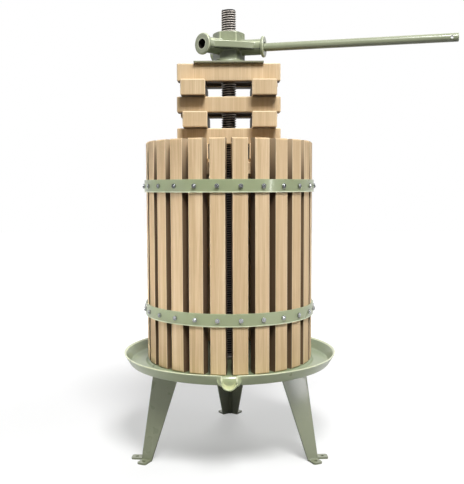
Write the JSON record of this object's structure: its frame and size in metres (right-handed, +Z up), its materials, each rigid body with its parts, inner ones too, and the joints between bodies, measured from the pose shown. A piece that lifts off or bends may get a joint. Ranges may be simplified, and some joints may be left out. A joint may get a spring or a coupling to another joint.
{
  "type": "fruit wine press",
  "caption": "Basket press for fruit: slatted wooden basket on a spouted tray with folded legs, central screw, nut with lever bar, press plates and loose blocks.",
  "frame": {"origin": "on the floor, under the screw's axis, at the middle of the three feet", "axes": "+Z up along the screw, -Y to the front where the spout is, +X to the right, the side the lever points to"},
  "size_m": [0.5579, 0.3946, 0.7665],
  "materials": {
    "green_paint": "satin sage green enamel over pressed and cast metal",
    "wood": "planed pale beech, unvarnished",
    "screw_steel": "dark oiled steel",
    "zinc": "bright zinc plating"
  },
  "bodies": {
    "stand": {"tray": "green_paint", "leg_front_left": "green_paint", "leg_front_right": "green_paint", "leg_rear": "green_paint", "leg_bolts": "zinc", "leg_nuts": "zinc", "screw": "screw_steel", "screw_flange": "screw_steel", "backing_plate": "zinc", "screw_washer": "zinc", "screw_nut": "zinc"},
    "basket": {"slat_01": "wood", "slat_02": "wood", "slat_03": "wood", "slat_04": "wood", "slat_05": "wood", "slat_06": "wood", "slat_07": "wood", "slat_08": "wood", "slat_09": "wood", "slat_10": "wood", "slat_11": "wood", "slat_12": "wood", "slat_13": "wood", "slat_14": "wood", "slat_15": "wood", "slat_16": "wood", "slat_17": "wood", "slat_18": "wood", "slat_19": "wood", "slat_20": "wood", "slat_21": "wood", "slat_22": "wood", "slat_23": "wood", "slat_24": "wood", "slat_25": "wood", "hoop_upper": "green_paint", "hoop_lower": "green_paint", "hoop_bolts_upper": "zinc", "hoop_bolts_lower": "zinc", "hoop_nuts_upper": "zinc", "hoop_nuts_lower": "zinc"},
    "press_stack": {"press_plate_left": "wood", "press_plate_right": "wood", "block_1_back": "wood", "block_1_front": "wood", "block_2_left": "wood", "block_2_right": "wood", "block_3_back": "wood", "block_3_front": "wood", "block_4_left": "wood", "block_4_right": "wood", "block_5_back": "wood", "block_5_front": "wood", "block_6_left": "wood", "block_6_right": "wood", "thrust_plate": "green_paint"},
    "press_nut": {"press_nut": "green_paint"},
    "lever": {"lever": "green_paint"}
  },
  "joints": [
    {"name": "basket_lift", "type": "slide", "parent": "stand", "child": "basket", "axis": [0, 0, 1], "range_m": [0, 0.045]},
    {"name": "press_slide", "type": "slide", "parent": "stand", "child": "press_stack", "axis": [0, 0, 1], "range_m": [-0.1001, 0.0301]},
    {"name": "nut_spin", "type": "hinge", "parent": "press_stack", "child": "press_nut", "pos_m": [0, 0, 0.6694], "axis": [0, 0, 1], "range_deg": [-9000, 2700]},
    {"name": "lever_slide", "type": "slide", "parent": "press_nut", "child": "lever", "axis": [0.9681, -0.2504, 0], "range_m": [0, 0.043]}
  ],
  "couplings": [
    {"joint": "press_slide", "follows": "nut_spin", "m_per_rad": 0.00063662}
  ]
}
